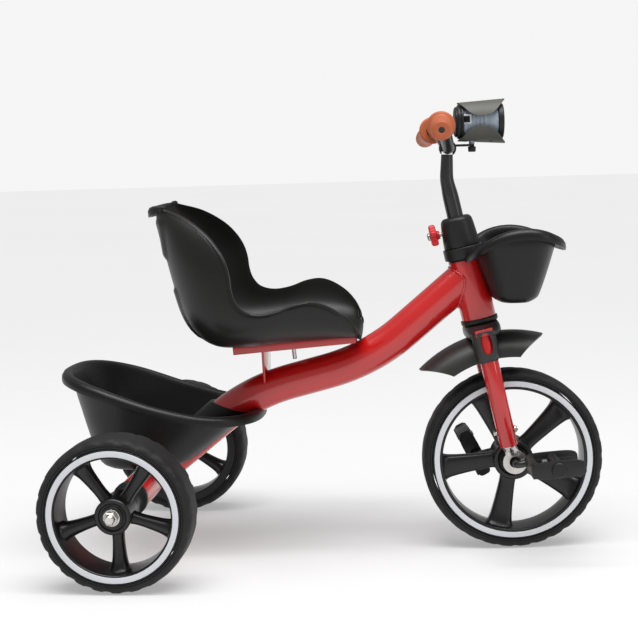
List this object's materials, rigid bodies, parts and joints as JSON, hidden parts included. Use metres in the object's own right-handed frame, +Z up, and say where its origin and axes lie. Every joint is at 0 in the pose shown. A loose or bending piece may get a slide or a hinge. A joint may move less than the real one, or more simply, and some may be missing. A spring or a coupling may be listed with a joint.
{
  "type": "children's tricycle",
  "caption": "Pedal tricycle with a curved red tube frame, raked fork, spoked wheels with foam tyres, bucket seat, front and rear baskets, and a handlebar with a lamp.",
  "frame": {"origin": "on the ground, straight under the middle of the front axle, where the front tyre stands", "axes": "+X forwards, +Y to the rider's left, +Z up"},
  "size_m": [0.7533, 0.518, 0.6229],
  "materials": {
    "red_paint": "high-gloss red powder coat",
    "zinc_steel": "bright zinc plate",
    "black_steel": "gloss black powder coat",
    "foam_tyre": "matt closed-cell foam tread",
    "pale_ring": "satin light grey trim ring",
    "brown_grip": "soft matt brown grip",
    "lamp_grey": "satin grey-blue",
    "visor_grey": "satin dark grey",
    "lamp_lens": "clear moulded lens",
    "red_plastic": "moulded red knob",
    "seat_plastic": "fine-grained satin black",
    "black_plastic": "satin black moulding"
  },
  "bodies": {
    "frame": {"main_tube": "red_paint", "head_tube": "red_paint", "rear_cross_tube": "red_paint", "seat_plate": "red_paint", "seat_strut": "red_paint", "headset_lower_bush": "black_plastic", "headset_upper_bush": "black_plastic", "seat_shell": "seat_plastic", "seat_bolt_front": "black_steel", "seat_bolt_rear": "black_steel", "seat_nut_front": "zinc_steel", "seat_nut_rear": "zinc_steel", "rear_basket": "black_plastic", "rear_axle": "zinc_steel", "axle_bush_left": "black_plastic", "axle_bush_right": "black_plastic", "rear_washer_left": "zinc_steel", "rear_washer_right": "zinc_steel", "rear_nut_left": "zinc_steel", "rear_nut_right": "zinc_steel"},
    "rear_wheel_left": {"rear_tyre_left": "foam_tyre", "rear_rim_left": "black_plastic", "rear_ring_left": "pale_ring"},
    "rear_wheel_right": {"rear_tyre_right": "foam_tyre", "rear_rim_right": "black_plastic", "rear_ring_right": "pale_ring"},
    "fork": {"steerer": "zinc_steel", "fork_crown": "red_paint", "fork_leg_left": "red_paint", "fork_leg_right": "red_paint", "fork_tip_left": "zinc_steel", "fork_tip_right": "zinc_steel", "fork_bolt_left": "zinc_steel", "fork_bolt_right": "zinc_steel", "fork_cover": "black_plastic", "front_basket": "black_plastic", "steering_cap": "pale_ring"},
    "front_wheel": {"front_tyre": "foam_tyre", "front_rim": "black_plastic", "front_ring_left": "pale_ring", "front_ring_right": "pale_ring", "crank_axle": "black_steel"},
    "pedal_left": {"pedal_left": "black_plastic"},
    "pedal_right": {"pedal_right": "black_plastic"},
    "clamp": {"clamp_knob": "red_plastic", "clamp_screw": "zinc_steel"},
    "handlebar": {"stem": "black_steel", "handlebar_tube": "black_steel", "grip_left": "brown_grip", "grip_right": "brown_grip", "lamp_bracket": "black_plastic", "lamp_screw": "black_plastic"},
    "lamp": {"lamp_body": "lamp_grey", "lamp_housing": "black_plastic", "lamp_bezel": "black_plastic", "lamp_lens": "lamp_lens", "lamp_visor_upper": "visor_grey", "lamp_visor_lower": "visor_grey"},
    "lamp_button": {"lamp_switch": "black_plastic"}
  },
  "joints": [
    {"name": "steering", "type": "hinge", "parent": "frame", "child": "fork", "pos_m": [0, 0, 0.125], "axis": [-0.2079, 0, 0.9781], "range_deg": [-45.4, 34.6]},
    {"name": "front_wheel_spin", "type": "hinge", "parent": "fork", "child": "front_wheel", "pos_m": [0, 0, 0.125], "axis": [-0.0921, 0.9956, -0.0196], "continuous": true},
    {"name": "pedal_left_spin", "type": "hinge", "parent": "front_wheel", "child": "pedal_left", "pos_m": [-0.04382, -0.00424, 0.11568], "axis": [-0.0921, 0.9956, -0.0196], "continuous": true},
    {"name": "pedal_right_spin", "type": "hinge", "parent": "front_wheel", "child": "pedal_right", "pos_m": [0.04382, 0.00424, 0.13431], "axis": [-0.0921, 0.9956, -0.0196], "continuous": true},
    {"name": "rear_wheel_left_spin", "type": "hinge", "parent": "frame", "child": "rear_wheel_left", "pos_m": [-0.5125, 0.2151, 0.1022], "axis": [0, 1, 0], "continuous": true},
    {"name": "rear_wheel_right_spin", "type": "hinge", "parent": "frame", "child": "rear_wheel_right", "pos_m": [-0.5125, -0.2151, 0.1022], "axis": [0, 1, 0], "continuous": true},
    {"name": "handlebar_height", "type": "slide", "parent": "fork", "child": "handlebar", "axis": [-0.2079, 0, 0.9781], "range_m": [0, 0.04]},
    {"name": "clamp_turn", "type": "hinge", "parent": "fork", "child": "clamp", "pos_m": [-0.09699, -0.00282, 0.43767], "axis": [-0.9738, -0.0941, -0.207], "range_deg": [0, 720]},
    {"name": "lamp_pan", "type": "hinge", "parent": "handlebar", "child": "lamp", "pos_m": [-0.0472, 0.00428, 0.56496], "axis": [-0.0009, 0.0196, 0.9998], "range_deg": [-30, 30]},
    {"name": "lamp_button_press", "type": "slide", "parent": "lamp", "child": "lamp_button", "axis": [-0.0921, 0.9956, -0.0196], "range_m": [0, 0.0015], "stiffness_N_per_m": 300}
  ]
}
